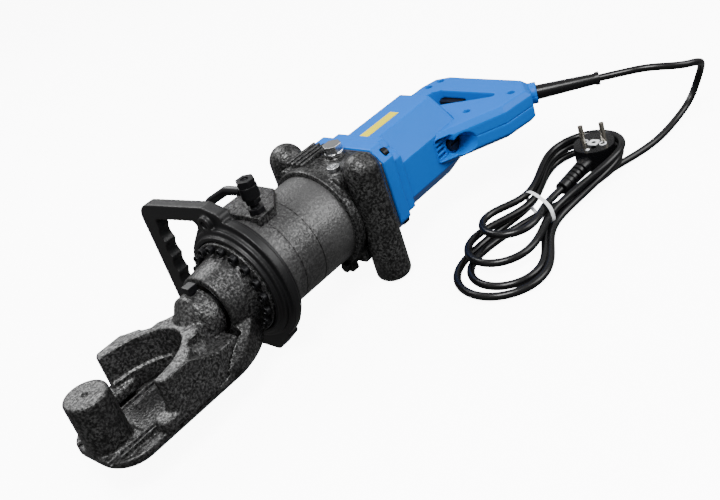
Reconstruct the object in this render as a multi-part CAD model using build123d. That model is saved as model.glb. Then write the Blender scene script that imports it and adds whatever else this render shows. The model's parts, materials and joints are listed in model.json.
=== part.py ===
from build123d import *
import math
import os

os.makedirs("parts", exist_ok=True)

# Portable electro-hydraulic rebar bender, millimetres, +Z up.
# It is drawn about its cylinder axis: +X forward to the bending head, X = 0 at
# the front of the cylinder, axis at Y = Z = 0. Every piece is then moved so that
# the origin is the middle of the footprint, at floor height.
AXIS_HEIGHT = 68.0
SHIFT_X = 88.5
SHIFT_Y = 12.0

# Hydraulic cylinder and ram
BORE_R = 34.0
BARREL_R = 43.5
BARREL_BACK = -97.0
BARREL_FRONT = -2.0
RUNNING = 0.05
ROD_R = 16.0
PISTON_BACK = -90.0
PISTON_LENGTH = 24.0
ROD_FRONT = 52.0
FORK_SCREW_X = 45.0

# Bending head
NECK_R = 33.5
NECK_TIP_R = 29.5
FLANGE_R = 43.0
FLANGE_FRONT = 8.0
NECK_FRONT = 37.0
BASE_BOTTOM = -44.0
BASE_TOP = -34.0
BASE_HALF_WIDTH = 41.0
NOSE_FRONT = 177.0
NOSE_CORNER = 28.0
POST_X = 159.0
POST_R = 18.0
POST_TOP = 11.5
FORK_TOP = 6.0
FORK_BOTTOM = BASE_TOP + 0.1
FORK_TIP = 123.0
FORK_HALF_WIDTH = 44.5
SLOT_VERTEX = 72.0
SLOT_HALF_WIDTH = 35.0
SHOULDER_R = 22.0
SHOULDER_BACK = 38.0
VALLEY_R = 9.5
VALLEY_Y = 32.0

# Pump and reservoirs
PUMP_TOP = 44.0
PUMP_BACK = -150.0
TUBE_X = -124.0
TUBE_Y = 46.0
TUBE_R = 16.0
TUBE_TOP = 55.0
TUBE_WALL = 3.0
CAM_Z = 18.0
MOTOR_Z = -2.0
MODULE = 1.0
PINION_TEETH = 10
GEAR_TEETH = 30

# Motor and rear handle
CASE_BACK = -176.0
MOTOR_FLATS = 82.0
HOUSING_Z = -3.0
HOUSING_BACK = -270.0
HANDLE_TOP = 16.0
HANDLE_BOTTOM = -16.0
BRUSH_X = -246.0
VENT_Z = -8.5
VENT_PITCH = 5.2

# Mains lead
CORD_D = 7.0
RELIEF_ROOT = Vector(-344.0, 72.0, 0.0)
RELIEF_DIRECTION = Vector(-0.576, 0.817, 0.0)
RELIEF_LENGTH = 62.0


def rod_x(radius, x0, x1, y=0.0, z=0.0):
    """A cylinder along X from x0 to x1."""
    solid = Cylinder(radius, x1 - x0, align=(Align.CENTER, Align.CENTER, Align.MIN))
    return Pos(x0, y, z) * Rot(0, 90, 0) * solid


def rod_y(radius, y0, y1, x=0.0, z=0.0):
    """A cylinder along Y from y0 to y1."""
    solid = Cylinder(radius, y1 - y0, align=(Align.CENTER, Align.CENTER, Align.MIN))
    return Pos(x, y0, z) * Rot(-90, 0, 0) * solid


def rod_z(radius, z0, z1, x=0.0, y=0.0):
    """A cylinder along Z from z0 to z1."""
    solid = Cylinder(radius, z1 - z0, align=(Align.CENTER, Align.CENTER, Align.MIN))
    return Pos(x, y, z0) * solid


def tube_x(outer, inner, x0, x1, y=0.0, z=0.0):
    """A ring along X from x0 to x1."""
    return rod_x(outer, x0, x1, y, z) - rod_x(inner, x0 - 1, x1 + 1, y, z)


def block(x0, x1, y0, y1, z0, z1):
    """A box between two corners."""
    centre = Pos((x0 + x1) / 2, (y0 + y1) / 2, (z0 + z1) / 2)
    return centre * Box(x1 - x0, y1 - y0, z1 - z0)


def plate_z(points, z0, z1):
    """A plate with a straight-sided plan outline, from z0 up to z1."""
    return extrude(Plane.XY.offset(z0) * make_face(Polyline(*points, close=True)), z1 - z0)


def plate_x(points, x0, x1):
    """A plate with a (y, z) outline, from x0 forward to x1."""
    plane = Plane(origin=(x0, 0, 0), x_dir=(0, 1, 0), z_dir=(1, 0, 0))
    return extrude(plane * make_face(Polyline(*points, close=True)), x1 - x0)


def on_circle(count, radius, start=0.0, span=360.0):
    """(y, z) places evenly spread on a circle about the X axis, angles from +Y."""
    step = span / count if span == 360.0 else span / (count - 1)
    angles = [math.radians(start + step * i) for i in range(count)]
    return [(radius * math.cos(a), radius * math.sin(a)) for a in angles]


def save(name, shape):
    """Move a piece to the shared frame and write it."""
    solids = [s for s in shape.solids()]
    moved = [Pos(SHIFT_X, SHIFT_Y, AXIS_HEIGHT) * s for s in solids]
    if len(moved) == 1:
        export_step(moved[0], f"parts/{name}.step")
    else:
        export_step(Compound(children=moved), f"parts/{name}.step")


# ---------------------------------------------------------------- bending head

SCREW_CIRCLE_R = 38.6
SCREW_PLACES = on_circle(14, SCREW_CIRCLE_R, -38.0, 256.0)
GLAND_R = 24.0
GLAND_FRONT = 30.0
SKIRT_SIDE = [(42, 32), (56, 36.5), (73, 41)]


def base_outline(inset):
    """Plan of the head's base, drawn in from its edge by inset: rounded nose and rounded heel."""
    half = BASE_HALF_WIDTH - inset
    corner = NOSE_CORNER - inset
    front = NOSE_FRONT - inset
    edges = [Line((front, corner - half), (front, half - corner)), Line((9, half - 22), (9, 22 - half))]
    for side in (-1, 1):
        edges.append(Line((front - corner, side * half), (62, side * half)))
        edges.append(ThreePointArc((62, side * half), (30, side * (half - 6.5)), (9, side * (half - 22))))
        edges.append(ThreePointArc((front, side * (half - corner)),
                                   (front - 0.293 * corner, side * (half - 0.293 * corner)),
                                   (front - corner, side * half)))
    return make_face(Wire([edge.edges()[0] for edge in edges]))


def head_base():
    """Flat sole with a sunk channel, two grooves and a curved pocket down each side."""
    base = extrude(Plane.XY.offset(BASE_BOTTOM) * base_outline(0), BASE_TOP - BASE_BOTTOM)
    base = chamfer(base.faces().sort_by(Axis.Z)[0].edges(), 4.5)
    base = base - block(64, POST_X - POST_R - 1, -18, 18, BASE_TOP - 2.5, BASE_TOP + 1)
    rim = extrude(Plane.XY.offset(BASE_TOP - 5) * base_outline(4.5), 9)
    for side in (-1, 1):
        base = base - block(66, 185, side * 21.5 - 1.5, side * 21.5 + 1.5, BASE_TOP - 3.5, BASE_TOP + 1)
        base = base - (rim & block(112, 170, side * 32 - 7, side * 32 + 7, -60, 0))
    return base


def fork_clearance():
    """Room beside and behind the fork's skirt, open towards the front."""
    gap = 0.8
    back = [(x, y + gap) for x, y in SKIRT_SIDE]
    side = [(NECK_FRONT + 0.5, back[0][1]), *back, (95, FORK_HALF_WIDTH + 4)]
    return plate_z(side + [(x, -y) for x, y in reversed(side)], BASE_TOP, 60)


def head_saddle():
    """Cradle under the neck, with side walls that run down beside the fork's skirt."""
    saddle = extrude(Plane.XY.offset(BASE_BOTTOM) * base_outline(0), 40)
    saddle = saddle & plate_x([(24, -6), (36, -18), (42, -32), (42, -60), (-42, -60), (-42, -32),
                               (-36, -18),
                               (-24, -6)], 0, 100)
    slope = Plane.XZ * make_face(Polyline((8, -60), (8, 0), (34, -10), (82, BASE_TOP - 1), (82, -60),
                                          close=True))
    saddle = saddle & extrude(slope, 60, both=True)
    return saddle - fork_clearance() - block(0, 100, -60, 60, BASE_BOTTOM - 1, BASE_TOP - 2)


def head_neck():
    """Bolted flange and tapered neck."""
    flange = rod_x(FLANGE_R, BARREL_FRONT, FLANGE_FRONT)
    cone = Cone(NECK_R, NECK_TIP_R, NECK_FRONT - FLANGE_FRONT, align=(Align.CENTER, Align.CENTER,
                                                                      Align.MIN))
    return flange + Pos(FLANGE_FRONT, 0, 0) * Rot(0, 90, 0) * cone


def head_frame():
    post = rod_z(POST_R, BASE_TOP, POST_TOP, POST_X)
    post = chamfer(post.faces().sort_by(Axis.Z)[-1].edges(), 1.2)
    frame = head_base() + head_saddle() + head_neck() + post
    frame = frame - rod_x(GLAND_R, BARREL_FRONT - 1, GLAND_FRONT)
    frame = frame - rod_x(SHOULDER_R + 1.5, GLAND_FRONT - 0.1, 100)
    for y, z in SCREW_PLACES:
        frame = frame - rod_x(2.6, -5, 20, y, z)
    return frame - rod_z(2.2, POST_TOP - 2.5, POST_TOP + 1, POST_X)


def head_screws():
    screws = []
    for y, z in SCREW_PLACES:
        head = rod_x(3.8, FLANGE_FRONT, FLANGE_FRONT + 4.8, y, z)
        socket = Pos(FLANGE_FRONT + 2.3, y, z) * Rot(0, 90, 0) * extrude(RegularPolygon(2.3, 6), 4)
        screws.append(head + rod_x(2.5, -14, FLANGE_FRONT, y, z) - socket)
    return Compound(children=screws)


def rod_gland():
    return tube_x(GLAND_R, ROD_R + RUNNING, BARREL_FRONT, GLAND_FRONT)


# ------------------------------------------------------------------ ram

def piston():
    body = rod_x(BORE_R - RUNNING, PISTON_BACK, PISTON_BACK + PISTON_LENGTH)
    groove = tube_x(BORE_R + 2, BORE_R - 5, PISTON_BACK + 9, PISTON_BACK + 15)
    return body - groove - rod_x(10, PISTON_BACK + 6, PISTON_BACK + PISTON_LENGTH + 1)


def piston_seal():
    return tube_x(BORE_R - RUNNING, BORE_R - 4.9, PISTON_BACK + 9.1, PISTON_BACK + 14.9)


def piston_rod():
    front = PISTON_BACK + PISTON_LENGTH
    return rod_x(ROD_R, front, ROD_FRONT) + rod_x(10, PISTON_BACK + 6, front)


def fork_slot(inset, z0, z1):
    """U-shaped mouth that straddles the post: half an ellipse running out forward."""
    start = FORK_TIP + 6
    half = SLOT_HALF_WIDTH - inset
    arc = EllipticalCenterArc((start, 0), start - SLOT_VERTEX - inset, half, start_angle=90, arc_size=180)
    sides = Polyline((start, -half), (FORK_TIP + 30, -half), (FORK_TIP + 30, half), (start, half))
    return extrude(Plane.XY.offset(z0) * make_face(Wire([*arc.edges(), *sides.edges()])), z1 - z0)


def mirrored(points):
    """A closed outline from its +Y half."""
    return points + [(x, -y) for x, y in reversed(points)]


def fork_skirt():
    """Broad low flanks that run back on either side of the shoulder and rise to the prongs."""
    half = FORK_HALF_WIDTH
    skirt = plate_z(mirrored([*SKIRT_SIDE, (88, half), (FORK_TIP - 4, half), (FORK_TIP, half - 5)]),
                    FORK_BOTTOM, FORK_TOP)
    slope = Plane.XZ * make_face(Polyline((40, -60), (40, -15), (70, -9), (95, FORK_TOP),
                                          (140, FORK_TOP), (140, -60),
                                          close=True))
    return skirt & extrude(slope, 60, both=True)


def fork_web():
    """Y-shaped top of the fork, spreading downward."""
    half = FORK_HALF_WIDTH
    top = mirrored([(52, 15), (64, 20), (79, 31), (95, half - 1), (FORK_TIP - 5, half - 1),
                    (FORK_TIP, half - 5)])
    sole = mirrored([(50, 25), (68, 33), (84, 39), (97, half), (FORK_TIP - 5, half), (FORK_TIP, half - 5)])
    faces = [Plane.XY.offset(z) * make_face(Polyline(*outline, close=True))
             for z, outline in ((FORK_BOTTOM, sole), (FORK_TOP, top))]
    return loft(faces, ruled=True)


def fork_toe(side):
    """Low rounded toe ahead of a prong."""
    toe = block(100, FORK_TIP + 13, side * 36 - 8.5, side * 36 + 8.5, FORK_BOTTOM, FORK_BOTTOM + 10)
    toe = fillet(toe.edges().filter_by(Axis.Z), 8)
    return fillet(toe.faces().sort_by(Axis.Z)[-1].edges(), 3)


def bending_fork():
    cone = Cone(SHOULDER_R, 9, 13, align=(Align.CENTER, Align.CENTER, Align.MIN))
    fork = fork_skirt() + fork_web() + rod_x(SHOULDER_R, SHOULDER_BACK, 54) + Pos(54, 0, 0) * Rot(0, 90,
                                                                                                  0) * cone
    for side in (-1, 1):
        end = Cone(VALLEY_R, 4, 8, align=(Align.CENTER, Align.CENTER, Align.MIN))
        fork = fork - rod_x(VALLEY_R, 30, 77, side * VALLEY_Y) - Pos(77, side * VALLEY_Y, 0) * Rot(0, 90,
                                                                                                   0) * end
    fork = fork - fork_slot(0, -19, 60) - fork_slot(2.5, -60, -19)
    fork = fork + fork_toe(-1) + fork_toe(1)
    fork = fork - rod_x(ROD_R, SHOULDER_BACK - 1, ROD_FRONT)
    fork = fork - block(30, 200, -60, 60, -60, FORK_BOTTOM)
    return fork - rod_z(3.0, ROD_R - 1, SHOULDER_R + 3, FORK_SCREW_X)


def fork_screw():
    """Square-headed set screw that locks the fork to the rod."""
    x = FORK_SCREW_X
    return rod_z(3.0, ROD_R + 0.1, SHOULDER_R + 2, x) + block(x - 4.5, x + 4.5, -4.5, 4.5,
                                                              SHOULDER_R + 1, SHOULDER_R + 7)


# ------------------------------------------------------- cylinder and pipework

PORT_X = -36.0
PORT_Y = 8.0
BLOCK_TOP = 48.0
FRONT_PORT = (-31.0, -52.0, 12.0)


def cylinder_barrel():
    barrel = tube_x(BARREL_R, BORE_R, BARREL_BACK, BARREL_FRONT)
    for x in (-34.0, -58.0):
        barrel = barrel - tube_x(BARREL_R + 1, BARREL_R - 0.4, x - 0.5, x + 0.5)
    for y, z in SCREW_PLACES:
        barrel = barrel - rod_x(2.55, -16, 0, y, z)
    return barrel


def port_block():
    plan = [(-27, 18), (-46, 18), (-70, -6), (-70, -34), (-27, -34)]
    body = plate_z(plan, 22, BLOCK_TOP)
    return body - rod_x(BARREL_R, -80, 0) - rod_z(4.0, BLOCK_TOP - 4, BLOCK_TOP + 1, PORT_X, PORT_Y)


def rear_port_fitting():
    """Threaded stem with two hex nuts and the round eye the pipe is brazed to."""
    stem = rod_z(4.0, BLOCK_TOP - 4, BLOCK_TOP + 16, PORT_X, PORT_Y)
    nuts = extrude(Pos(PORT_X, PORT_Y, BLOCK_TOP) * RegularPolygon(7.5, 6), 5)
    nuts = nuts + extrude(Pos(PORT_X, PORT_Y, BLOCK_TOP + 9) * RegularPolygon(7.0, 6), 4)
    eye = rod_z(8.0, BLOCK_TOP + 14, BLOCK_TOP + 25, PORT_X, PORT_Y)
    return stem + nuts + eye


def banjo_bolt():
    base = BLOCK_TOP + 25
    head = extrude(Pos(PORT_X, PORT_Y, base) * RegularPolygon(8.4, 6), 6)
    return head - rod_z(3.5, base + 4, base + 7, PORT_X, PORT_Y)


def hydraulic_pipe():
    z = BLOCK_TOP + 19.5
    x, y = FRONT_PORT[:2]
    route = [(PORT_X + 2, PORT_Y - 7.5, z), (PORT_X + 4, PORT_Y - 24, z), (x, y + 8, z - 14),
             (x, y - 6, z - 30), (x, y - 6, FRONT_PORT[2] + 7.5)]
    line = FilletPolyline(*route, radius=9)
    section = Plane(origin=line @ 0, z_dir=line % 0) * Circle(4.0)
    pipe = sweep(section, path=line)
    return pipe - rod_z(8.05, 0, 200, PORT_X, PORT_Y)


def front_port_fitting():
    x, y, z = FRONT_PORT
    eye = rod_z(7.0, z - 7.5, z + 7.5, x, y - 6)
    stub = rod_y(5.0, y - 6, -40, x, z)
    return eye + stub - rod_x(BARREL_R, -80, 0)


# ---------------------------------------------------- rotating front handle

RING_R = 58.0
RING_BORE = BARREL_R + RUNNING
PLATE_BACK = -14.0
PLATE_FRONT = -2.0
GRIP_Y = -110.0
FOOT_Z = -AXIS_HEIGHT
EAR = (-14.0, 55.0)


def front_handle():
    """Cast D handle and its ring, which turns on the front of the cylinder."""
    outer = [(4, 64), (-16, 69), (GRIP_Y, 59), (GRIP_Y, -58), (-62, -62), (-24, FOOT_Z), (14, FOOT_Z),
             (34, -50)]
    body = plate_x(outer, PLATE_BACK, PLATE_FRONT)
    rounded = body.edges().filter_by(Axis.X).sort_by(Axis.Y)
    body = fillet(rounded[:2], 16)
    body = fillet(body.edges().filter_by(Axis.X).filter_by_position(Axis.Y, -30, 40), 5)
    body = body + rod_x(RING_R, PLATE_BACK + 4, PLATE_FRONT) + rod_x(RING_R - 3, PLATE_BACK, PLATE_FRONT)
    window = [(-90, 47), (-26, 54), (-46, 31), (-54, 4), (-50, -22), (-42, -44), (-90, -40)]
    opening = plate_x(window, PLATE_BACK - 1, PLATE_FRONT + 1)
    body = body - fillet(opening.edges().filter_by(Axis.X), 4)
    for z in (30.0, 14.0, -2.0, -18.0):
        body = body - rod_x(10.0, PLATE_BACK - 1, PLATE_FRONT + 1, -83.0, z)
    body = body + rod_x(52, PLATE_FRONT, 2.5) + rod_x(47.5, 2.5, 6)
    body = body + rod_x(7.5, PLATE_FRONT, 2.5, *EAR)
    body = body - rod_x(RING_BORE, PLATE_BACK - 1, 8)
    return body - rod_x(2.6, PLATE_BACK + 4, 3, *EAR) - rod_x(3.5, -1.5, 3, *EAR)


def handle_clamp_screw():
    return rod_x(3.4, -1.5, 1.2, *EAR) + rod_x(2.5, PLATE_BACK + 5, -1.5, *EAR)


# --------------------------------------------------------------- pump

CAM_BEARING_R = 11.0
CAM_SHAFT_R = 5.0
ECCENTRIC = 2.0
PLUNGER_R = 4.0
PLUNGER_X = -118.0
PUMP_CHAMBER_R = 17.0
PLATE_X = -148.0
FILLER = (-139.0, 2.0)
RELIEF = (-114.0, 24.0)


def pump_body():
    body = rod_x(48, -106, BARREL_BACK)
    body = body + block(PLATE_X, -104, -37, 37, -44, PUMP_TOP - 3) + rod_x(40, PLATE_X, -104)
    body = fillet(body.edges().filter_by(Axis.X).filter_by_position(Axis.Z, PUMP_TOP - 5, PUMP_TOP), 5)
    for i in range(4):
        y = -31 + 6.0 * i
        body = body + block(PLATE_X, -110, y, y + 2.6, PUMP_TOP - 5, PUMP_TOP + 3)
    body = body + rod_z(9.0, PUMP_TOP - 5, PUMP_TOP, *FILLER) + rod_z(7.0, PUMP_TOP - 5, PUMP_TOP - 1,
                                                                      *RELIEF)
    body = body + block(-106, -97, 14, 24, -52, -40)
    for side in (-1, 1):
        body = body - rod_z(TUBE_R, FOOT_Z - 5, 120, TUBE_X, side * TUBE_Y)
    body = body - rod_x(PUMP_CHAMBER_R, PLATE_X - 5, -108, 0, CAM_Z)
    body = body - rod_x(CAM_BEARING_R, -109, -101, 0, CAM_Z)
    for y, z in plunger_directions():
        body = body - plunger_bore(y, z, PLUNGER_R + RUNNING, 16, 30)
    body = body - rod_z(5.0, 30, 60, *FILLER) - rod_z(3.5, 37, 60, *RELIEF)
    return body - rod_x(3.0, -112, -96, 19, -46)


def plunger_directions():
    """Unit (y, z) directions of the three radial plungers, all below the cam."""
    return [(math.cos(math.radians(a)), math.sin(math.radians(a))) for a in (-90, -25, 205)]


def plunger_bore(y, z, radius, start, stop):
    """A cylinder pointing out of the camshaft axis in direction (y, z)."""
    plane = Plane(origin=(PLUNGER_X, y * start, CAM_Z + z * start), z_dir=(0, y, z))
    return extrude(plane * Circle(radius), stop - start)


def pump_plungers():
    return Compound(children=[plunger_bore(y, z, PLUNGER_R, 12.2, 26) for y, z in plunger_directions()])


def check_valve_balls():
    balls = []
    for y, z in plunger_directions():
        balls.append(Pos(PLUNGER_X, y * 28.2, CAM_Z + z * 28.2) * Sphere(1.8))
    return Compound(children=balls)


def pump_end_plate():
    """Plate between the pump and the gears, carrying the rear cam bearing."""
    plate = plate_x(rounded_square(44, 41, -42, 10), PUMP_BACK, PLATE_X)
    hub = rod_x(PUMP_CHAMBER_R - 0.5, PLATE_X, -137, 0, CAM_Z)
    plate = plate + hub - rod_x(CAM_BEARING_R, -145.5, -130, 0, CAM_Z)
    plate = plate - rod_x(CAM_SHAFT_R + 1, -155, -140, 0, CAM_Z)
    for y, z in CASE_SCREWS:
        plate = plate - rod_x(2.55, -155, -140, y, z)
    return plate


def rounded_square(half_width, top, bottom, corner):
    """(y, z) outline of a square with cut corners."""
    w, c = half_width, corner
    return [(w, top - c), (w - c, top), (c - w, top), (-w, top - c),
            (-w, bottom + c), (c - w, bottom), (w - c, bottom), (w, bottom + c)]


def reservoir(side):
    """A closed tube standing beside the pump: domed top, rounded foot, hollow inside."""
    y = side * TUBE_Y
    body = rod_z(TUBE_R, FOOT_Z, TUBE_TOP, TUBE_X, y)
    body = fillet(body.faces().sort_by(Axis.Z)[-1].edges(), TUBE_R - 0.5)
    body = fillet(body.faces().sort_by(Axis.Z)[0].edges(), 7)
    return body - rod_z(TUBE_R - TUBE_WALL, FOOT_Z + 12, TUBE_TOP - 14, TUBE_X, y) - rod_z(
        8.0, FOOT_Z - 1, FOOT_Z + 13, TUBE_X, y)


def reservoir_plugs():
    """Screwed plugs that close the feet of the two tubes."""
    plugs = []
    for side in (-1, 1):
        plug = rod_z(8.0, FOOT_Z, FOOT_Z + 11, TUBE_X, side * TUBE_Y)
        plugs.append(plug - extrude(Pos(TUBE_X, side * TUBE_Y, FOOT_Z) * RegularPolygon(3.6, 6), 5))
    return Compound(children=plugs)


def oil_filler_plug():
    x, y = FILLER
    stem = rod_z(5.0, PUMP_TOP - 8, PUMP_TOP, x, y) + rod_z(9.0, PUMP_TOP, PUMP_TOP + 1.5, x, y)
    return stem + extrude(Pos(x, y, PUMP_TOP + 1.5) * RegularPolygon(9.0, 6), 7)


def relief_valve_screw():
    x, y = RELIEF
    body = rod_z(3.5, PUMP_TOP - 7, PUMP_TOP - 1, x, y) + rod_z(5.8, PUMP_TOP - 1, PUMP_TOP + 3, x, y)
    return body - extrude(Pos(x, y, PUMP_TOP + 0.5) * RegularPolygon(2.6, 6), 4)


def pump_lug_screw():
    return rod_x(2.95, -111, -97, 19, -46) + rod_x(4.6, -97, -93, 19, -46)


# ------------------------------------------------------- cam shaft and gears

def bearing(radius, bore, x0, x1, z):
    """A sealed ball bearing drawn as one ring with a seal groove on each face."""
    ring = tube_x(radius, bore, x0, x1, 0, z)
    middle = (radius + bore) / 2
    for x in (x0, x1):
        ring = ring - tube_x(middle + 1.2, middle - 1.2, x - 0.4, x + 0.4, 0, z)
    return ring


def spur_gear(teeth, x0, x1, z, bore, turn):
    """A straight-toothed gear about X: tapered teeth on the pitch circle."""
    pitch_r = MODULE * teeth / 2
    root_r = pitch_r - 1.25 * MODULE
    tip_r = pitch_r + 0.9 * MODULE
    step = 2 * math.pi / teeth
    corners = []
    for i in range(teeth):
        centre = math.radians(turn) + i * step
        for radius, share in ((root_r, -0.30), (pitch_r, -0.225), (tip_r, -0.11),
                              (tip_r, 0.11), (pitch_r, 0.225), (root_r, 0.30)):
            angle = centre + share * step
            corners.append((radius * math.cos(angle), radius * math.sin(angle) + z))
    gear = plate_x(corners, x0, x1)
    return gear - rod_x(bore, x0 - 1, x1 + 1, 0, z) if bore else gear


def eccentric_shaft():
    shaft = rod_x(CAM_SHAFT_R, -163, -101, 0, CAM_Z)
    return shaft + rod_x(7.0, -123, -113, 0, CAM_Z + ECCENTRIC) + rod_x(6.5, -136, -124, 0, CAM_Z)


def eccentric_bearing():
    return bearing(9.9, 7.0, -122.5, -113.5, CAM_Z + ECCENTRIC)


def drive_gear():
    gear = spur_gear(GEAR_TEETH, -162, -152, CAM_Z, CAM_SHAFT_R, -90.0)
    return gear - tube_x(11.5, 8, -153.5, -151, 0, CAM_Z)


def armature_shaft():
    pinion = spur_gear(PINION_TEETH, -163.5, -151.5, MOTOR_Z, 0.0, 90.0 + 180.0 / PINION_TEETH)
    return pinion + rod_x(5.0, -264, -163.5, 0, MOTOR_Z)


def armature_core():
    core = tube_x(19.0, 5.0, -232, -196, 0, MOTOR_Z)
    for y, z in on_circle(12, 19.0):
        core = core - rod_x(1.6, -233, -195, y, z + MOTOR_Z)
    return core


def commutator():
    ring = tube_x(10.5, 5.0, -254, -238, 0, MOTOR_Z)
    for i in range(12):
        slot = Rot(30 * i, 0, 0) * block(-255, -237, 9.6, 11, -0.3, 0.3)
        ring = ring - Pos(0, 0, MOTOR_Z) * slot
    return ring


def cooling_fan():
    fan = tube_x(9.0, 5.0, -192, -182, 0, MOTOR_Z) + tube_x(24.0, 8.0, -192, -190, 0, MOTOR_Z)
    for i in range(9):
        blade = Pos(0, 0, MOTOR_Z) * Rot(40 * i, 0, 0) * block(-190, -183, 8.5, 23.5, -0.8, 0.8)
        fan = fan + blade
    return fan


# --------------------------------------------------------------- motor

def octagon(flats, z=0.0):
    """(y, z) outline of an octagon with flat sides, top and bottom."""
    half = flats / 2
    corner = half * 0.44
    return [(half, z + corner), (corner, z + half), (-corner, z + half), (-half, z + corner),
            (-half, z - corner), (-corner, z - half), (corner, z - half), (half, z - corner)]


CASE_SCREWS = [(38, 34), (-38, 34), (-38, -34), (38, -34)]


def gear_case():
    """Blue gear housing: square flange towards the pump, narrower seat for the motor."""
    case = plate_x(rounded_square(46, 43, -42, 12), -164, PUMP_BACK)
    case = case + plate_x(rounded_square(43, 40, -44, 16), CASE_BACK, -164)
    case = case - rod_x(17.5, -164, -140, 0, CAM_Z) - rod_x(7.0, -165, -140, 0, MOTOR_Z)
    case = case - rod_x(27.0, -190, -172, 0, MOTOR_Z) - rod_x(13.0, -173, -165, 0, MOTOR_Z)
    for y, z in CASE_SCREWS:
        case = case - rod_x(5.2, -190, -158, y, z) - rod_x(2.55, -159, -140, y, z)
    return case


def gear_case_screws():
    """Screws through the gear case into the pump's end plate."""
    return Compound(children=[rod_x(4.6, -164, -158, y, z) + rod_x(2.5, -158, PLATE_X, y, z)
                              for y, z in CASE_SCREWS])


def motor_housing():
    outer = plate_x(octagon(MOTOR_FLATS, HOUSING_Z), HOUSING_BACK, CASE_BACK)
    outer = chamfer(outer.faces().sort_by(Axis.X)[0].edges(), 12)
    inner = rod_x(29.0, -266, CASE_BACK + 1, 0, MOTOR_Z)
    body = outer - inner
    for side in (-1, 1):
        start, stop = (25, 60) if side > 0 else (-60, -25)
        body = body - rod_y(8.0, start, stop, BRUSH_X, MOTOR_Z)
    for i in range(4):
        z = VENT_Z + VENT_PITCH * i
        body = body - block(-235.5, -223.5, 27, 60, z, z + 2.6) - block(-235.5, -223.5, -60, -27, z,
                                                                        z + 2.6)
    return body


def stator_core():
    core = tube_x(29.0, 19.5, -232, -196, 0, MOTOR_Z)
    for side in (-1, 1):
        core = core - block(-233, -195, side * 24 - 3, side * 24 + 3, MOTOR_Z - 9, MOTOR_Z + 9)
    return core


def field_windings():
    coils = []
    for side in (-1, 1):
        y = side * 24
        coil = block(-236, -194, y - 2.9, y + 2.9, MOTOR_Z - 8.9, MOTOR_Z + 8.9)
        coils.append(fillet(coil.edges().filter_by(Axis.X), 2.5))
    return Compound(children=coils)


def front_motor_bearing():
    return bearing(13.0, 5.0, -172, -165.5, MOTOR_Z)


def rear_motor_bearing():
    return bearing(11.0, 5.0, -264, -257, MOTOR_Z)


def bearing_spider():
    """Rear bearing seat, pressed into the back of the motor housing."""
    return tube_x(29.0, 11.0, -264, -258, 0, MOTOR_Z) - rod_x(4, -270, -250, 18, MOTOR_Z)


def brush_holders():
    return Compound(children=[
        rod_y(7.9, 14, 40, BRUSH_X, MOTOR_Z) - block(BRUSH_X - 4.1, BRUSH_X + 4.1, 10, 42, MOTOR_Z - 5.1,
                                                     MOTOR_Z + 5.1),
        rod_y(7.9, -40, -14, BRUSH_X, MOTOR_Z) - block(BRUSH_X - 4.1, BRUSH_X + 4.1, -42, -10,
                                                       MOTOR_Z - 5.1,
                                                      MOTOR_Z + 5.1)])


def carbon_brushes():
    return Compound(children=[block(BRUSH_X - 4, BRUSH_X + 4, 10.6, 30, MOTOR_Z - 5, MOTOR_Z + 5),
                              block(BRUSH_X - 4, BRUSH_X + 4, -30, -10.6, MOTOR_Z - 5, MOTOR_Z + 5)])


def brush_caps():
    caps = []
    for start, stop, slot in ((40, 44.5, 43.3), (-44.5, -40, -46)):
        cap = rod_y(7.9, start, stop, BRUSH_X, MOTOR_Z)
        caps.append(cap - block(BRUSH_X - 6, BRUSH_X + 6, slot, slot + 2.7, MOTOR_Z - 1, MOTOR_Z + 1))
    return Compound(children=caps)


def warning_strip():
    top = HOUSING_Z + MOTOR_FLATS / 2
    return block(-224, CASE_BACK - 1, -3, 7, top, top + 0.4)


# ---------------------------------------------------------- rear handle

HANDLE_PLAN = [(-222, 30), (-222, 43), (-284, 80), (-320, 86), (-343, 66), (-344, -24), (-336, -40),
               (-316, -46), (-262, -48), (-222, -43), (-222, -30)]
WINDOW_PLAN = [(-281, 4), (-306, 57), (-311, 50), (-311, -14), (-305, -22), (-285, -22)]
HANDLE_SCREWS = [(-274.0, 44.0), (-314.0, 68.0), (-316.0, -33.0), (-330.0, -28.0), (-275.0, -36.0)]


def handle_blank():
    """Whole rear handle before it is split: a flat D with a window for the hand."""
    plate = plate_z(HANDLE_PLAN, HANDLE_BOTTOM, HANDLE_TOP)
    window = plate_z(WINDOW_PLAN, HANDLE_BOTTOM - 1, HANDLE_TOP + 1)
    plate = chamfer(plate.faces().sort_by(Axis.Z)[-1].edges(), 5)
    plate = chamfer(plate.faces().sort_by(Axis.Z)[0].edges(), 5)
    plate = plate - fillet(window.edges().filter_by(Axis.Z), 4) + relief_line(-12, 2.5, 10.5)
    housing = plate_x(octagon(MOTOR_FLATS + 0.1, HOUSING_Z), HOUSING_BACK, CASE_BACK)
    housing = chamfer(housing.faces().sort_by(Axis.X)[0].edges(), 12)
    return plate - housing


def handle_cavity():
    """Space for the switch and wiring in the grip and the near arm."""
    grip = block(-339, -316, -28, 62, HANDLE_BOTTOM + 5, HANDLE_TOP - 5)
    arm = plate_z([(-283, 50), (-316, 66), (-316, 80), (-288, 77)], HANDLE_BOTTOM + 5, HANDLE_TOP - 5)
    return grip + arm


def relief_line(start, stop, radius):
    """A cylinder along the strain relief, measured from its root."""
    plane = Plane(origin=RELIEF_ROOT + RELIEF_DIRECTION * start, z_dir=RELIEF_DIRECTION)
    return extrude(plane * Circle(radius), stop - start)


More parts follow.
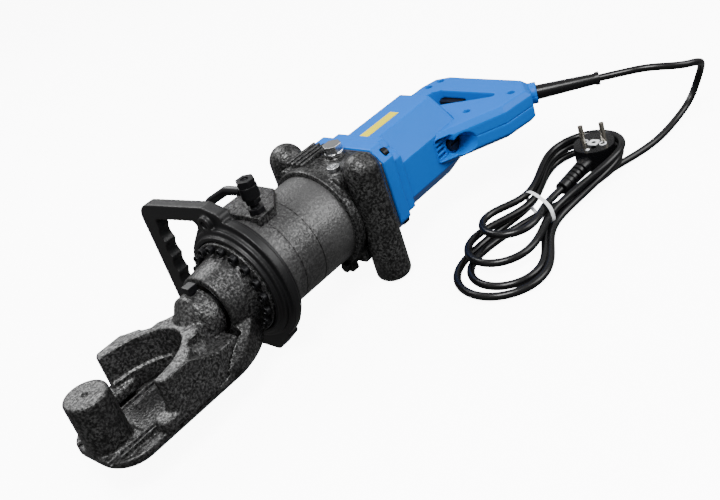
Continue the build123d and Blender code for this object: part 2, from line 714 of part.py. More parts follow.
def handle_shell(top):
    half = block(-400, -180, -100, 120, 0, 60) if top else block(-400, -180, -100, 120, -60, 0)
    shell = (handle_blank() - handle_cavity()) & half
    shell = shell - relief_line(-14, 30, 7.4)
    shell = shell - block(-318, -300, -16, 14, -7.2, 7.2)
    scoop = rod_y(10.5, 40, 90, BRUSH_X, MOTOR_Z)
    shell = shell - scoop - rod_y(10.5, -90, -40, BRUSH_X, MOTOR_Z)
    shell = shell - block(-237.5, -222.5, -90, 90, VENT_Z - 1.5, VENT_Z + 4 * VENT_PITCH - 1)
    for x, y in HANDLE_SCREWS:
        if top:
            shell = shell - rod_z(3.6, HANDLE_TOP - 8, HANDLE_TOP + 1, x, y)
        shell = shell - rod_z(1.75, HANDLE_BOTTOM + 4, HANDLE_TOP + 1, x, y)
    if not top:
        shell = shell - rod_z(4.05, HANDLE_BOTTOM - 1, -5, LOCK_X, LOCK_Y)
    return shell


def handle_screws():
    screws = []
    for x, y in HANDLE_SCREWS:
        head = rod_z(3.4, HANDLE_TOP - 8, HANDLE_TOP - 5.5, x, y)
        cross = block(x - 2, x + 2, y - 0.4, y + 0.4, HANDLE_TOP - 6.3, HANDLE_TOP)
        screws.append(head + rod_z(1.7, HANDLE_BOTTOM + 5, HANDLE_TOP - 8, x, y) - cross)
    return Compound(children=screws)


LOCK_X = -327.0
LOCK_Y = 30.0


def switch_body():
    body = block(-338, -319, -18, 16, -9, 9)
    return body


def trigger():
    """Finger trigger in the window: pad outside, stem inside the grip."""
    pad = block(-312.5, -304, -15, 13, -6.9, 6.9)
    pad = fillet(pad.edges().filter_by(Axis.Z).sort_by(Axis.X)[-2:], 3)
    return pad


def lock_button():
    return rod_z(4.0, HANDLE_BOTTOM - 3, -9.6, LOCK_X, LOCK_Y)


def cord_clamp():
    return block(-337, -318, 36, 46, -10, -4)


def strain_relief():
    """Moulded boot: tapers away from the handle and ends in a small bell."""
    plane = Plane(origin=RELIEF_ROOT - RELIEF_DIRECTION * 12, z_dir=RELIEF_DIRECTION)
    root = extrude(plane * Circle(7.4), 14)
    cone_plane = Plane(origin=RELIEF_ROOT + RELIEF_DIRECTION * 2, z_dir=RELIEF_DIRECTION)
    boot = loft([cone_plane * Circle(7.2), cone_plane.offset(RELIEF_LENGTH - 6) * Circle(5.4)])
    bell = relief_line(RELIEF_LENGTH - 4, RELIEF_LENGTH, 6.4)
    return root + boot + bell


# ------------------------------------------------- mains lead, hank and plug

FLOOR = -AXIS_HEIGHT
LEAD_Z = FLOOR + CORD_D / 2
HANK_TOP = FLOOR + 18.0
HANK_LOW = FLOOR + 9.0
HANK_END_X = -262.0
TIE_CENTRE = (-238.0, 130.0)
TIE_ANGLE = 62.4
TIE_WIDTH = 4.5
PLUG_CENTRE = (-326.0, 139.0)
PLUG_R = 19.5
PLUG_BASE = HANK_LOW + 0.1
PLUG_FACE = PLUG_BASE + 20.0
RELIEF_END = RELIEF_ROOT + RELIEF_DIRECTION * RELIEF_LENGTH

FIRST_RUN = RELIEF_END + RELIEF_DIRECTION * 23.0

LEAD_ROUTE = [
    (RELIEF_END.X, RELIEF_END.Y, RELIEF_END.Z),
    (FIRST_RUN.X, FIRST_RUN.Y, FIRST_RUN.Z),
    (-399, 164, 3),
    (-414, 189, -2),
    (-434, 196, -7),
    (-452, 190, -18),
    (-458, 181, -37),
    (-449, 175, -56),
    (-427, 171, LEAD_Z),
    (-389, 172, LEAD_Z),
    (-360, 167, LEAD_Z),
    (-322, 153, LEAD_Z),
    (-292, 147, LEAD_Z),
    (-262, 144, LEAD_Z),
]


def lead_radii():
    """Largest tangent arc for each corner of the lead: 0.45 of the shorter run."""
    points = [Vector(*p) for p in LEAD_ROUTE]
    radii = []
    for before, corner, after in zip(points, points[1:], points[2:]):
        turn = (corner - before).get_angle(after - corner)
        shorter = min((corner - before).length, (after - corner).length)
        radii.append(0.45 * shorter / math.tan(math.radians(turn / 2)))
    return radii


def cord_lead():
    """Free run of the lead from the strain relief down to the floor and into the hank."""
    line = FilletPolyline(*LEAD_ROUTE, radius=lead_radii())
    section = Plane(origin=line @ 0, z_dir=line % 0) * Circle(CORD_D / 2)
    lead = sweep(section, path=line)
    print("lead radii", [round(r) for r in lead_radii()], "length", round(line.length),
          "volume ratio", round(lead.volume / (math.pi * CORD_D ** 2 / 4 * line.length), 4))
    return lead


def tie_frame(points):
    """Points given across and along the tie, turned into plan coordinates."""
    angle = math.radians(TIE_ANGLE)
    return [(TIE_CENTRE[0] + u * math.cos(angle) - v * math.sin(angle),
             TIE_CENTRE[1] + u * math.sin(angle) + v * math.cos(angle)) for u, v in points]


TIE_HALF = 27.0
TIE_THICKNESS = 1.2


def tie_block(half, z0, z1):
    """A block across the bundle, as wide as the tie."""
    width = TIE_WIDTH / 2
    return plate_z(tie_frame([(-half, -width), (half, -width), (half, width), (-half, width)]), z0, z1)


def cord_hank():
    """Outer shape of the tied hank: wide loops, a waist at the tie, a low end under the plug."""
    loops = [(-262, 98), (-243, 104), (-228, 97), (-205, 93), (-178, 93), (-152, 96), (-131, 103), (-117,
                                                                                                    117),
             (-111, 138), (-115, 162), (-127, 179), (-147, 184), (-176, 179), (-200, 166), (-220, 156),
             (-240, 158), (-262, 160)]
    low_end = [(-261, 98), (-261, 134), (-290, 142), (-320, 149), (-338, 150), (-348, 138), (-345, 116),
               (-326, 98), (-290, 94)]
    hank = plate_z(loops, FLOOR, HANK_TOP) + plate_z(low_end, FLOOR, HANK_LOW)
    slot = tie_block(60, FLOOR - 1, HANK_TOP + 1) - tie_block(TIE_HALF, FLOOR + TIE_THICKNESS, HANK_TOP + 1)
    return hank - slot


def cable_tie():
    outside = tie_block(TIE_HALF + TIE_THICKNESS, FLOOR, HANK_TOP + TIE_THICKNESS)
    return outside - tie_block(TIE_HALF, FLOOR + TIE_THICKNESS, HANK_TOP)


PIN_SPACING = 19.0
PIN_R = 2.4
PIN_LENGTH = 19.0
PLUG_TURN = 28.0


def plug_frame(shape):
    """Move a shape drawn about the plug's own axis to the plug, turned about Z."""
    return Pos(*PLUG_CENTRE, 0) * Rot(0, 0, PLUG_TURN) * shape


def plug_body():
    """Side-entry round plug: disc with flattened flanks and a ribbed tail."""
    disc = rod_z(PLUG_R, PLUG_BASE, PLUG_FACE) & block(-PLUG_R, PLUG_R, -18.5, 18.5, -100, 0)
    body = plug_frame(disc)
    x, y = PLUG_CENTRE
    tail_z = PLUG_BASE + 8.0
    tail = Pos(x + 12, y, tail_z) * Rot(0, 90, 0) * Cone(8.0, 6.0, 51, align=(Align.CENTER, Align.CENTER,
                                                                              Align.MIN))
    for i in range(5):
        start = x + 30 + 6 * i
        tail = tail - tube_x(12, 5.8, start, start + 2.5, y, tail_z)
    body = body + tail
    for side in (-1, 1):
        body = body - plug_frame(rod_z(PIN_R, PLUG_FACE - 8, PLUG_FACE + 1, 0, side * PIN_SPACING / 2))
    return body - plug_frame(rod_z(2.6, PLUG_FACE - 12, PLUG_FACE + 1, 9, 0))


def plug_pins():
    return Compound(children=[plug_frame(rod_z(PIN_R, PLUG_FACE - 8, PLUG_FACE + PIN_LENGTH, 0,
                                               side * PIN_SPACING / 2)) for side in (-1, 1)])


PIECES = {
    "head_frame": head_frame, "head_screws": head_screws, "rod_gland": rod_gland, "piston": piston,
    "piston_seal": piston_seal, "piston_rod": piston_rod, "bending_fork": bending_fork,
    "fork_screw": fork_screw, "cylinder_barrel": cylinder_barrel, "port_block": port_block,
    "rear_port_fitting": rear_port_fitting, "banjo_bolt": banjo_bolt, "hydraulic_pipe": hydraulic_pipe,
    "front_port_fitting": front_port_fitting, "front_handle": front_handle,
    "handle_clamp_screw": handle_clamp_screw, "pump_body": pump_body, "pump_plungers": pump_plungers,
    "check_valve_balls": check_valve_balls, "pump_end_plate": pump_end_plate,
    "reservoir_plugs": reservoir_plugs, "oil_filler_plug": oil_filler_plug,
    "relief_valve_screw": relief_valve_screw, "pump_lug_screw": pump_lug_screw,
    "eccentric_shaft": eccentric_shaft, "eccentric_bearing": eccentric_bearing, "drive_gear": drive_gear,
    "armature_shaft": armature_shaft, "armature_core": armature_core, "commutator": commutator,
    "cooling_fan": cooling_fan, "gear_case": gear_case, "gear_case_screws": gear_case_screws,
    "motor_housing": motor_housing, "stator_core": stator_core, "field_windings": field_windings,
    "front_motor_bearing": front_motor_bearing, "rear_motor_bearing": rear_motor_bearing,
    "bearing_spider": bearing_spider, "brush_holders": brush_holders, "carbon_brushes": carbon_brushes,
    "brush_caps": brush_caps, "warning_strip": warning_strip, "handle_screws": handle_screws,
    "switch_body": switch_body, "trigger": trigger, "lock_button": lock_button,
    "cord_clamp": cord_clamp, "strain_relief": strain_relief, "cord_lead": cord_lead,
    "cord_hank": cord_hank, "cable_tie": cable_tie, "plug_body": plug_body, "plug_pins": plug_pins,
}

for name, make in PIECES.items():
    save(name, make())
save("cam_bearing_front", bearing(CAM_BEARING_R, CAM_SHAFT_R, -109, -102, CAM_Z))
save("cam_bearing_rear", bearing(CAM_BEARING_R, CAM_SHAFT_R, -145.5, -137, CAM_Z))
save("reservoir_near", reservoir(1))
save("reservoir_far", reservoir(-1))
save("handle_top_shell", handle_shell(True))
save("handle_bottom_shell", handle_shell(False))
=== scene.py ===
"""Looks for the portable rebar bender: materials, rounded castings, the lead and the studio."""
import json
import math

import bmesh
import bpy
from mathutils import Matrix, Vector

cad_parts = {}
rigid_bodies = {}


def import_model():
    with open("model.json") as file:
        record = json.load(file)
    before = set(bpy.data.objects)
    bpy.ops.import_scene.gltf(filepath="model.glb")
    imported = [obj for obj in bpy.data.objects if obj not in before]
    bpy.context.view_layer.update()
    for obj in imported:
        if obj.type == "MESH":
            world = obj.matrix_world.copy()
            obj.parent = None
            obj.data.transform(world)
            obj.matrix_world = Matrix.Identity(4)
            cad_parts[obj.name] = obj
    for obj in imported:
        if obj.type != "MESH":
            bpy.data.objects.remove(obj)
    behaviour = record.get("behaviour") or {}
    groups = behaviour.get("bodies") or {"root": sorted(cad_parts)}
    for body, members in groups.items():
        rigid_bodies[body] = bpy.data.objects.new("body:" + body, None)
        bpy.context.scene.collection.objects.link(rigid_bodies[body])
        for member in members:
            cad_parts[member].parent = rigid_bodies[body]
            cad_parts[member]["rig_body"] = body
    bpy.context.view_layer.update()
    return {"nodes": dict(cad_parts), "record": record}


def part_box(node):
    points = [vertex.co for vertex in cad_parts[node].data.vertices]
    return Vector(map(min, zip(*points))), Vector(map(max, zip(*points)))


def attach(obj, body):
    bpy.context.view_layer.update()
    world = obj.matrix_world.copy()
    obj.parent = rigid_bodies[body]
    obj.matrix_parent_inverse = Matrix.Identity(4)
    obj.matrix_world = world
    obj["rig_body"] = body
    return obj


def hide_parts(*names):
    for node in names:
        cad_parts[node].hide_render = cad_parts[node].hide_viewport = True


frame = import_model()
NODES = frame["nodes"]
MM = 0.001

# The pieces are laid out from the cylinder: X = 0 is 2 mm ahead of the barrel's front
# face, and Y = Z = 0 is its axis. place() turns such millimetres into the frame.
BARREL_LOW, BARREL_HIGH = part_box("cylinder_barrel")
AXIS = (BARREL_LOW + BARREL_HIGH) / 2
AXIS.x = BARREL_HIGH.x + 2 * MM
FLOOR = -AXIS.z / MM


def place(x, y, z):
    """A point given in millimetres from the cylinder, as a point of the frame."""
    return AXIS + Vector((x, y, z)) * MM


# ------------------------------------------------------------------ camera

CAMERA_AT = (382.9, 613.5, 399.0)
CAMERA_LOOKS_AT = (-75.7, 67.4, -5.8)
CAMERA_ROLL = -19.0
LENS = 50.0
SENSOR = 36.0
NEAREST, FARTHEST = 0.05, 20.0


def linked(name, data):
    """A new object in the scene that shows this data."""
    made = bpy.data.objects.new(name, data)
    bpy.context.scene.collection.objects.link(made)
    return made


def make_camera():
    data = bpy.data.cameras.new("camera")
    data.lens = LENS
    data.sensor_width = SENSOR
    data.clip_start = NEAREST
    data.clip_end = FARTHEST
    camera = linked("camera", data)
    camera.location = place(*CAMERA_AT)
    forward = place(*CAMERA_LOOKS_AT) - camera.location
    level = forward.to_track_quat("-Z", "Y").to_matrix()
    roll = Matrix.Rotation(math.radians(CAMERA_ROLL), 3, "Z")
    camera.rotation_euler = (level @ roll).to_euler()
    bpy.context.scene.camera = camera


# --------------------------------------------------------------- materials

def new_material(name):
    material = bpy.data.materials.new(name)
    material.use_nodes = True
    return material, material.node_tree.nodes, material.node_tree.links


def coordinates(nodes):
    return nodes.new("ShaderNodeTexCoord").outputs["Object"]


def noise(nodes, links, where, scale, detail=3.0, roughness=0.5):
    node = nodes.new("ShaderNodeTexNoise")
    node.inputs["Scale"].default_value = scale
    node.inputs["Detail"].default_value = detail
    node.inputs["Roughness"].default_value = roughness
    links.new(where, node.inputs["Vector"])
    return node.outputs["Fac"]


def cells(nodes, links, where, scale, smooth=1.0):
    node = nodes.new("ShaderNodeTexVoronoi")
    node.feature = "SMOOTH_F1"
    node.inputs["Scale"].default_value = scale
    node.inputs["Smoothness"].default_value = smooth
    links.new(where, node.inputs["Vector"])
    return node.outputs["Distance"]


def ramp(nodes, links, value, stops):
    node = nodes.new("ShaderNodeValToRGB")
    element = node.color_ramp.elements
    while len(element) < len(stops):
        element.new(0.5)
    for slot, (position, colour) in zip(element, stops):
        slot.position = position
        slot.color = (*colour, 1.0)
    links.new(value, node.inputs["Fac"])
    return node.outputs["Color"]


def grey(value):
    return (value, value, value)


def bump(nodes, links, height, strength, distance, below=None):
    node = nodes.new("ShaderNodeBump")
    node.inputs["Strength"].default_value = strength
    node.inputs["Distance"].default_value = distance
    links.new(height, node.inputs["Height"])
    if below is not None:
        links.new(below, node.inputs["Normal"])
    return node.outputs["Normal"]


def mixed(nodes, links, factor, first, second):
    node = nodes.new("ShaderNodeMix")
    node.data_type = "RGBA"
    links.new(factor, node.inputs[0])
    for socket, colour in ((node.inputs[6], first), (node.inputs[7], second)):
        if isinstance(colour, tuple):
            socket.default_value = (*colour, 1.0)
        else:
            links.new(colour, socket)
    return node.outputs[2]


def edge_wear(nodes, links, low=0.53, high=0.60):
    """White along convex edges, from the shape itself. Only for the dense casting meshes."""
    geometry = nodes.new("ShaderNodeNewGeometry")
    return ramp(nodes, links, geometry.outputs["Pointiness"], [(low, grey(0)), (high, grey(1))])


def scaled(nodes, links, value, factor):
    node = nodes.new("ShaderNodeMath")
    node.operation = "MULTIPLY"
    links.new(value, node.inputs[0])
    node.inputs[1].default_value = factor
    return node.outputs["Value"]


def hammertone(name, tone, grain=480.0, strength=0.8, worn=False):
    """Hammered paint: dense speckle over shallow bumps, patchy at a larger scale. The speckle's colour
    is painted shade in the dips and painted highlight on the bump tops.
    """
    material, nodes, links = new_material(name)
    shader = nodes["Principled BSDF"]
    where = coordinates(nodes)
    speckle = noise(nodes, links, where, grain, 2.0, 0.65)
    pits = cells(nodes, links, where, grain * 0.55, 0.6)
    broad = noise(nodes, links, where, 45.0, 4.0, 0.6)
    # The same speckle lifts the bumps and colours them: near-black in the dips is painted shade, and
    # light grey on the bump tops is painted highlight.
    painted_dip_shade, light = grey(tone * 0.08), grey(tone * 1.9)
    spots = ramp(nodes, links, speckle, [(0.40, painted_dip_shade), (0.52, grey(tone * 0.75)), (0.64, light)])
    patches = ramp(nodes, links, broad, [(0.35, grey(0.0)), (0.75, grey(0.7))])
    colour = mixed(nodes, links, patches, spots, grey(tone * 0.30))
    if worn:
        edges = scaled(nodes, links, edge_wear(nodes, links), 0.55)
        colour = mixed(nodes, links, edges, colour, grey(tone * 2.4))
    links.new(colour, shader.inputs["Base Color"])
    sheen = ramp(nodes, links, speckle, [(0.3, grey(0.44)), (0.7, grey(0.27))])
    links.new(sheen, shader.inputs["Roughness"])
    shader.inputs["Metallic"].default_value = 0.6
    shader.inputs["Specular IOR Level"].default_value = 0.35
    first = bump(nodes, links, speckle, strength, 0.0007)
    links.new(bump(nodes, links, pits, strength * 0.5, 0.0005, first), shader.inputs["Normal"])
    return material


def paint(name, colour, roughness, metallic=0.0, grain=900.0, strength=0.15,
          shine=0.3, shade=0.8, worn=0.0):
    """Painted or moulded surface: slight mottling, fine surface grain, lighter worn edges."""
    material, nodes, links = new_material(name)
    shader = nodes["Principled BSDF"]
    where = coordinates(nodes)
    broad = noise(nodes, links, where, 35.0, 4.0)
    fine = noise(nodes, links, where, grain, 3.0)
    darker = tuple(c * shade for c in colour)
    tint = mixed(nodes, links, broad, darker, colour)
    if worn:
        edges = scaled(nodes, links, edge_wear(nodes, links), worn)
        rubbed = tuple(min(1.0, c * 1.6 + 0.04) for c in colour)
        tint = mixed(nodes, links, edges, tint, rubbed)
    links.new(tint, shader.inputs["Base Color"])
    smoothest, roughest = grey(roughness * 0.8), grey(min(1.0, roughness * 1.25))
    rough = ramp(nodes, links, fine, [(0.25, smoothest), (0.75, roughest)])
    links.new(rough, shader.inputs["Roughness"])
    shader.inputs["Metallic"].default_value = metallic
    shader.inputs["Specular IOR Level"].default_value = shine
    links.new(bump(nodes, links, fine, strength, 0.0002), shader.inputs["Normal"])
    return material


def metal(name, colour, roughness, grain=700.0):
    """Bare or plated metal with fine machining variation."""
    return paint(name, colour, roughness, metallic=1.0, grain=grain, strength=0.1, shade=0.7)


MATERIALS = {
    "hammertone": hammertone("hammertone_paint", 0.06, worn=True),
    "fork_paint": hammertone("fork_paint", 0.085, worn=True),
    "black_handle": paint("black_handle", (0.006, 0.006, 0.0065), 0.38, grain=1500.0, worn=0.15),
    "black_oxide": paint("black_oxide", (0.006, 0.006, 0.007), 0.32, metallic=0.3),
    "bright_steel": metal("bright_steel", (0.62, 0.63, 0.65), 0.22),
    "gland_bronze": metal("gland_bronze", (0.05, 0.04, 0.03), 0.4),
    "seal_rubber": paint("seal_rubber", (0.02, 0.02, 0.02), 0.6),
    "blue_shell": paint("blue_shell", (0.0, 0.12, 0.53), 0.36, grain=1100.0, strength=0.06,
                        shine=0.12, shade=0.92, worn=0.12),
    "laminated_steel": metal("laminated_steel", (0.3, 0.3, 0.31), 0.4),
    "copper": metal("copper", (0.72, 0.3, 0.14), 0.3),
    "cast_aluminium": metal("cast_aluminium", (0.6, 0.6, 0.62), 0.4),
    "black_plastic": paint("black_plastic", (0.006, 0.006, 0.007), 0.42, strength=0.3, shine=0.25),
    "carbon": paint("carbon", (0.03, 0.03, 0.033), 0.7),
    "yellow_strip": paint("yellow_strip", (0.72, 0.60, 0.0), 0.45, shine=0.1, shade=0.95),
    "cord_rubber": paint("cord_rubber", (0.003, 0.003, 0.0035), 0.26, grain=1800.0, strength=0.1,
                         shine=0.35),
    "white_tie": paint("white_tie", (0.85, 0.86, 0.88), 0.35, shade=0.93),
    "nickel": metal("nickel", (0.75, 0.70, 0.60), 0.18),
}


def dress(piece, slot, *bodies):
    """Give a new piece the finish of a record slot, and its body."""
    piece.data.materials.clear()
    piece.data.materials.append(MATERIALS[slot])
    for body in bodies:
        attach(piece, body)
    return piece


def dress_cad_nodes():
    """Every carried-over CAD node takes the finish of its record slot."""
    for row in frame["record"]["subparts"]:
        mesh = NODES[row["node"]].data
        mesh.materials.clear()
        mesh.materials.append(MATERIALS[row["material_slot"]])


# ---------------------------------------------------------------- castings

# New piece, the CAD node it stands for, voxel size in mm, smoothing rounds, faces kept.
CASTINGS = [
    ("head_casting", "head_frame", 0.9, 9, 0.8),
    ("fork_casting", "bending_fork", 0.8, 10, 1.0),
    ("swivel_handle_casting", "front_handle", 0.8, 7, 0.8),
    ("pump_casting", "pump_body", 0.9, 4, 0.7),
    ("port_block_casting", "port_block", 0.6, 4, 1.0),
    ("gear_case_moulding", "gear_case", 0.8, 4, 0.8),
    ("motor_housing_moulding", "motor_housing", 0.8, 3, 0.8),
    ("rear_handle_top_moulding", "handle_top_shell", 0.8, 5, 0.8),
    ("rear_handle_bottom_moulding", "handle_bottom_shell", 0.8, 5, 0.8),
    ("pipe_eye_bolt", "banjo_bolt", 0.35, 3, 1.0),
    ("pipe_union", "rear_port_fitting", 0.35, 2, 1.0),
    ("oil_filler_cap", "oil_filler_plug", 0.4, 3, 1.0),
    ("relief_screw", "relief_valve_screw", 0.35, 2, 1.0),
    ("fork_set_screw", "fork_screw", 0.35, 3, 1.0),
    ("flange_screws", "head_screws", 0.4, 2, 0.6),
    ("pump_bolt", "pump_lug_screw", 0.4, 2, 1.0),
    ("ear_screw", "handle_clamp_screw", 0.35, 2, 1.0),
    ("front_pipe_eye", "front_port_fitting", 0.5, 3, 1.0),
]


def welded(mesh):
    """Join the loose corners that a carried-over CAD mesh has along its edges."""
    work = bmesh.new()
    work.from_mesh(mesh)
    bmesh.ops.remove_doubles(work, verts=work.verts, dist=0.000002)
    work.to_mesh(mesh)
    work.free()


def applied(piece):
    """Replace a piece's modifiers by the mesh they make."""
    bpy.context.view_layer.update()
    shown = piece.evaluated_get(bpy.context.evaluated_depsgraph_get())
    shape = bpy.data.meshes.new_from_object(shown)
    piece.modifiers.clear()
    piece.data = shape
    for face in shape.polygons:
        face.use_smooth = True
    return piece


def rounded_copy(name, node, voxel, rounds, keep):
    """A copy of a CAD node with its edges rounded as a casting's or a moulding's are."""
    mesh = NODES[node].data.copy()
    welded(mesh)
    piece = linked(name, mesh)
    remesh = piece.modifiers.new("remesh", "REMESH")
    remesh.mode = "VOXEL"
    remesh.voxel_size = voxel * MM
    smooth = piece.modifiers.new("smooth", "SMOOTH")
    smooth.iterations = rounds
    if keep < 1.0:
        thin = piece.modifiers.new("thin", "DECIMATE")
        thin.ratio = keep
    return applied(piece)


def make_castings():
    """Every row of the table above, in its node's finish and on its node's body."""
    rows = {row["node"]: row for row in frame["record"]["subparts"]}
    for name, node, voxel, rounds, keep in CASTINGS:
        piece = rounded_copy(name, node, voxel, rounds, keep)
        dress(piece, rows[node]["material_slot"], NODES[node]["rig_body"])
        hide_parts(node)


# -------------------------------------------------------------------- lead

CORD_D = 7.0
LEAD_Z = FLOOR + CORD_D / 2
RELIEF_ROOT = Vector((-344.0, 72.0, 0.0))
RELIEF_DIRECTION = Vector((-0.576, 0.817, 0.0))
RELIEF_LENGTH = 62.0
RELIEF_END = RELIEF_ROOT + RELIEF_DIRECTION * RELIEF_LENGTH
FIRST_RUN = RELIEF_END + RELIEF_DIRECTION * 23.0

# Control points of the free lead, from the strain relief down to the floor and towards the hank.
LEAD_ROUTE = [
    RELIEF_END,
    FIRST_RUN,
    (-399, 164, 3),
    (-414, 189, -2),
    (-434, 196, -7),
    (-452, 190, -18),
    (-458, 181, -37),
    (-449, 175, -56),
    (-427, 171, LEAD_Z),
    (-389, 172, LEAD_Z),
    (-360, 167, LEAD_Z),
]

# The hank is laid out about its tie: u runs across the bundle, v along it towards the head.
TIE_CENTRE = Vector((-238.0, 130.0))
TIE_ANGLE = math.radians(62.4)
INTO_HANK = [(-322, 153, LEAD_Z), (-292, 149, LEAD_Z)]
INTO_PLUG = [(-246, 139, -51.5), (-262, 139, -50.9)]
STRAND_STEP = 14.0
EASING_ROUNDS = 3


def across_tie(u, v):
    """Plan point at u and v from the middle of the tie."""
    return (TIE_CENTRE.x + u * math.cos(TIE_ANGLE) + v * math.sin(TIE_ANGLE),
            TIE_CENTRE.y + u * math.sin(TIE_ANGLE) - v * math.cos(TIE_ANGLE))


# Round lobes of the turns: plan centre, radius, and heights where each starts and ends.
HEAD_LOBES = [(-161, 142, 36, 0, 0), (-155, 142, 44, 0, 0), (-177, 127, 34, 8, 8),
              (-204, 121, 30, 15, 15)]
PLUG_LOBES = [(-319, 128, 38, 8, 0), (-320, 129, 39, 15, 8), (-321, 130, 40, 22, 15)]
HEAD_SWEEP = (-106, 106)
PLUG_SWEEP = (88, 272)

# Where each turn passes through the tie, across the bundle and above the floor.
OUTGOING = (-2, -17, -9, -14)
RETURNING = (8, 18, 13, 4)
TIE_LEVELS = (0.0, 0.0, 7.5, 14.0)


def lobe(centre_x, centre_y, radius, low, high, start, stop, steps=7):
    """Points round one lobe, from one angle to another, while its height changes evenly."""
    points = []
    for i in range(steps + 1):
        share = i / steps
        turn = math.radians(start + (stop - start) * share)
        x, y = centre_x + radius * math.cos(turn), centre_y + radius * math.sin(turn)
        points.append((x, y, LEAD_Z + low + (high - low) * share))
    return points


def through_tie(turn):
    """The strand of one turn on its way towards the head, as it passes under the tie."""
    z = LEAD_Z + TIE_LEVELS[turn]
    if turn == 0:
        return [(*across_tie(OUTGOING[0], v), z) for v in (-16, 0, 16)]
    x, y = across_tie(OUTGOING[turn], 0)
    return [(x - 15, y - 5, z), (x, y, z), (x + 17, y - 7, z)]


def hank_points():
    """The turns of the hank, worked out turn by turn, and the run into the plug's tail."""
    points = list(INTO_HANK)
    for turn, head_lobe in enumerate(HEAD_LOBES):
        points += through_tie(turn)
        points += lobe(*head_lobe, *HEAD_SWEEP)
        x, y = across_tie(RETURNING[turn], 0)
        z = LEAD_Z + TIE_LEVELS[turn]
        if turn < len(PLUG_LOBES):
            points += [(x + 15, y + 6, z), (x, y, z), (x - 17, y + 2, z)]
            points += lobe(*PLUG_LOBES[turn], *PLUG_SWEEP, 6)
    return points + [(x + 8, y + 1, z)] + INTO_PLUG


def evenly_spaced(points, step):
    """Points the same distance apart along a chain of straight runs."""
    points = [Vector(p) for p in points]
    spaced = [points[0]]
    left = step
    for first, second in zip(points, points[1:]):
        run = (second - first).length
        while left <= run:
            spaced.append(first.lerp(second, left / run))
            left += step
        left -= run
    spaced.append(points[-1])
    return spaced


def eased(points, rounds):
    """Every point but the first and last drawn towards its neighbours, as a stiff cord lies."""
    for _ in range(rounds):
        inner = [(a + b * 2 + c) / 4 for a, b, c in zip(points, points[1:], points[2:])]
        points = [points[0], *inner, points[-1]]
    return points


def make_cord(*pieces):
    """The whole lead and its hank as one tube. The pieces that lie on it are passed in but not used.
    """
    hank = eased(evenly_spaced(hank_points(), STRAND_STEP), EASING_ROUNDS)
    route = [place(*p) for p in LEAD_ROUTE + hank]
    data = bpy.data.curves.new("mains_cord", "CURVE")
    data.dimensions = "3D"
    data.bevel_depth = CORD_D / 2 * MM
    data.bevel_resolution = 6
    data.resolution_u = 10
    data.use_fill_caps = True
    spline = data.splines.new("NURBS")
    spline.points.add(len(route) - 1)
    for point, spot in zip(spline.points, route):
        point.co = (*spot, 1.0)
    spline.order_u = 3
    spline.use_endpoint_u = True
    cord = linked("mains_cord", data)
    dress(cord, "cord_rubber", "tool")
    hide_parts("cord_lead", "cord_hank")
    round(cord_length(cord), 2)


def cord_length(cord):
    """Length of the cord's own line."""
    bare = cord.data.copy()
    bare.bevel_depth = 0
    line = linked("line", bare)
    mesh = bpy.data.meshes.new_from_object(line)
    spots = [v.co.copy() for v in mesh.vertices]
    total = sum((b - a).length for a, b in zip(spots, spots[1:]))
    bpy.data.objects.remove(line)
    bpy.data.meshes.remove(mesh)
    return total


# ------------------------------------------------------------ tie and plug

def mesh_piece(name, verts, faces, slot):
    """A smooth-shaded piece made from points given in millimetres."""
    mesh = bpy.data.meshes.new(name)
    mesh.from_pydata([place(*v) for v in verts], [], faces)
    mesh.update()
    for face in mesh.polygons:
        face.use_smooth = True
    return dress(linked(name, mesh), slot, "tool")


def squarish(radius_x, radius_y, turn, power):
    """Point at one angle of an oval; the lower the power, the squarer the oval."""
    c, d = math.cos(turn), math.sin(turn)
    return (radius_x * math.copysign(abs(c) ** power, c), radius_y * math.copysign(abs(d) ** power, d))


TIE_HALF_WIDTH = 22.5
TIE_HALF_HEIGHT = 11.2
TIE_MIDDLE = FLOOR + 12.3
TIE_STATIONS = 64
# Outline of the band's section: along the bundle, and outward from the oval path.
TIE_SECTION = [(-1.9, 0.0), (-1.5, 0.55), (0.0, 0.75), (1.5, 0.55), (1.9, 0.0), (0.0, -0.4)]


def make_tie():
    """White band drawn round the bundle: a flat strip with soft edges, on an oval path."""
    verts, faces = [], []
    count = len(TIE_SECTION)
    for i in range(TIE_STATIONS):
        turn = math.tau * i / TIE_STATIONS
        for v, out in TIE_SECTION:
            u, up = squarish(TIE_HALF_WIDTH + out, TIE_HALF_HEIGHT + out, turn, 0.75)
            verts.append((*across_tie(u + 0.5, v), TIE_MIDDLE + up))
        j = (i + 1) % TIE_STATIONS
        for k in range(count):
            m = (k + 1) % count
            faces.append((i * count + k, j * count + k, j * count + m, i * count + m))
    tie = mesh_piece("tie_band", verts, faces, "white_tie")
    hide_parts("cable_tie")
    return tie


PLUG_CENTRE = (-326.0, 139.0)
PLUG_FACE = FLOOR + 29.1
PIN_OFFSET = 9.5
SUNK = 0.3
RING_ANGLES = [math.tau * i / 32 for i in range(32)]


def outline(x, y, radius, power=1.0):
    """Points round a circle, or round a square with soft corners where the power is low."""
    around = [squarish(radius, radius, turn, power) for turn in RING_ANGLES]
    return [(x + across, y + along) for across, along in around]


def add_ring(verts, faces, outer, inner, height):
    """A closed flat ring between two outlines, set a little into the plug's face."""
    n = len(outer)
    a = len(verts)
    b, c, d = a + n, a + 2 * n, a + 3 * n
    for z in (PLUG_FACE - SUNK, PLUG_FACE + height):
        verts += [(x, y, z) for x, y in outer + inner]
    for i in range(n):
        j = (i + 1) % n
        faces.append((c + i, c + j, d + j, d + i))
        faces.append((a + i, b + i, b + j, a + j))
        faces.append((a + i, a + j, c + j, c + i))
        faces.append((b + i, d + i, d + j, b + j))


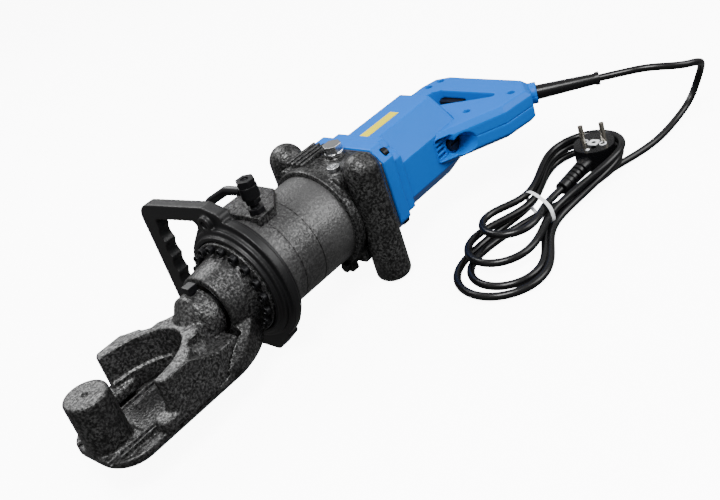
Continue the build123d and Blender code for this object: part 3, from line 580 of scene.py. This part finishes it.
def make_plug_face():
    """Earth contact with its round hole, the collars at the pins' roots and a small tab."""
    verts, faces = [], []
    x, y = PLUG_CENTRE
    add_ring(verts, faces, outline(x, y, 4.9, 0.45), outline(x, y, 2.3), 0.7)
    for pin_y in (y - PIN_OFFSET, y + PIN_OFFSET):
        add_ring(verts, faces, outline(x, pin_y, 3.5), outline(x, pin_y, 2.45), 0.6)
    x, y = x + 13.0, y + 1.0
    add_ring(verts, faces, outline(x, y, 1.6, 0.3), outline(x, y, 0.1), 0.25)
    return mesh_piece("plug_earth_contact", verts, faces, "white_tie")


# ------------------------------------------------------------------ studio

FLOOR_HALF = 4.0
FLOOR_DROP = 0.0002
FLOOR_GLOW = 9.0
LIT_POINT = (-100, 40, 0)

# Area lamps: name, place, size in metres, power in watts.
LAMPS = [
    ("key", (300, 350, 1000), 0.5, 20),
    ("fill", (-800, 900, 700), 0.8, 12),
    ("rim", (-200, -900, 900), 0.6, 14),
]


def floor_paint():
    """Plain pale floor that glows, as a lit studio sweep does."""
    material = paint("floor_white", (0.9, 0.9, 0.9), 0.8, grain=60.0, strength=0.02, shade=0.99)
    shader = material.node_tree.nodes["Principled BSDF"]
    shader.inputs["Emission Color"].default_value = (1.0, 1.0, 1.0, 1.0)
    shader.inputs["Emission Strength"].default_value = FLOOR_GLOW
    return material


def soft_sky():
    """Studio surround: bright overhead, grey at the sides and dim below."""
    world = bpy.data.worlds.new("studio")
    world.use_nodes = True
    nodes, links = world.node_tree.nodes, world.node_tree.links
    split = nodes.new("ShaderNodeSeparateXYZ")
    links.new(nodes.new("ShaderNodeTexCoord").outputs["Generated"], split.inputs["Vector"])
    height = nodes.new("ShaderNodeMapRange")
    height.inputs["From Min"].default_value = -1.0
    links.new(split.outputs["Z"], height.inputs["Value"])
    bands = [(0.40, grey(0.16)), (0.56, grey(0.34)), (0.78, grey(0.65))]
    sky = ramp(nodes, links, height.outputs["Result"], bands)
    links.new(sky, nodes["Background"].inputs["Color"])
    return world


def make_studio():
    """White floor that only the camera sees, the surround and three soft lamps."""
    mesh = bpy.data.meshes.new("floor")
    corners = [(-1, -1), (1, -1), (1, 1), (-1, 1)]
    mesh.from_pydata([(x * FLOOR_HALF, y * FLOOR_HALF, 0) for x, y in corners], [], [(0, 1, 2, 3)])
    floor = linked("floor", mesh)
    floor.location.z = -FLOOR_DROP
    floor.data.materials.append(floor_paint())
    floor.visible_diffuse = False
    floor.visible_glossy = False
    bpy.context.scene.world = soft_sky()
    for name, spot, size, power in LAMPS:
        light = bpy.data.lights.new(name, "AREA")
        light.size = size
        light.energy = power
        lamp = linked(name, light)
        lamp.location = place(*spot)
        lamp.rotation_euler = (place(*LIT_POINT) - lamp.location).to_track_quat("-Z", "Y").to_euler()


make_camera()
make_cord(make_tie(), make_plug_face())
dress_cad_nodes()
make_castings()
make_studio()
